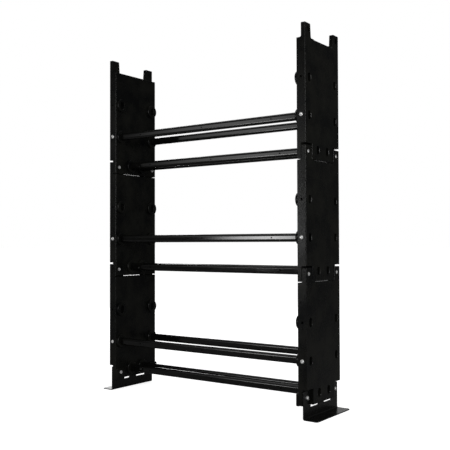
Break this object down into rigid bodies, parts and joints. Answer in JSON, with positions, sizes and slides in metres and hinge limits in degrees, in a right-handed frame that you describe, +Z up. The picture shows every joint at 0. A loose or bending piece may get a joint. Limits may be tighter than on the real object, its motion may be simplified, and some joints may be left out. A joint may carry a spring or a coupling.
{
  "type": "dumbbell rack",
  "caption": "Free-standing storage rack: stacked flat side modules joined by flat-oval tubes with spare sockets, on bent sheet-metal feet.",
  "frame": {"origin": "on the floor, under the middle of the rack", "axes": "+Z up, X along the bars, -Y is the front (front-back and left-right are alike)"},
  "size_m": [0.863, 0.2146, 1.1615],
  "materials": {
    "moulding": "satin black moulded plastic with a fine grain",
    "bar_paint": "glossy black powder coat on steel tube",
    "foot_paint": "smooth semi-gloss black on bent sheet steel",
    "zinc": "bright zinc plate"
  },
  "bodies": {
    "root": {"side_shell_right_bottom": "moulding", "side_cover_right_bottom": "moulding", "side_shell_right_middle": "moulding", "side_cover_right_middle": "moulding", "side_shell_right_top": "moulding", "side_cover_right_top": "moulding", "side_shell_left_bottom": "moulding", "side_cover_left_bottom": "moulding", "side_shell_left_middle": "moulding", "side_cover_left_middle": "moulding", "side_shell_left_top": "moulding", "side_cover_left_top": "moulding", "bar_bottom_upper_front": "bar_paint", "bar_bottom_upper_back": "bar_paint", "bar_bottom_lower_front": "bar_paint", "bar_bottom_lower_back": "bar_paint", "bar_middle_upper_front": "bar_paint", "bar_middle_upper_back": "bar_paint", "bar_middle_lower_front": "bar_paint", "bar_middle_lower_back": "bar_paint", "bar_top_upper_front": "bar_paint", "bar_top_upper_back": "bar_paint", "bar_top_lower_front": "bar_paint", "bar_top_lower_back": "bar_paint", "clamp_screws_right": "zinc", "joint_bolts_right": "zinc", "joint_nuts_right": "zinc", "foot_bolts_right": "zinc", "foot_nuts_right": "zinc", "foot_bracket_right": "foot_paint", "foot_clamp_right_front": "moulding", "foot_clamp_right_back": "moulding", "clamp_screws_left": "zinc", "joint_bolts_left": "zinc", "joint_nuts_left": "zinc", "foot_bolts_left": "zinc", "foot_nuts_left": "zinc", "foot_bracket_left": "foot_paint", "foot_clamp_left_front": "moulding", "foot_clamp_left_back": "moulding"}
  },
  "joints": []
}
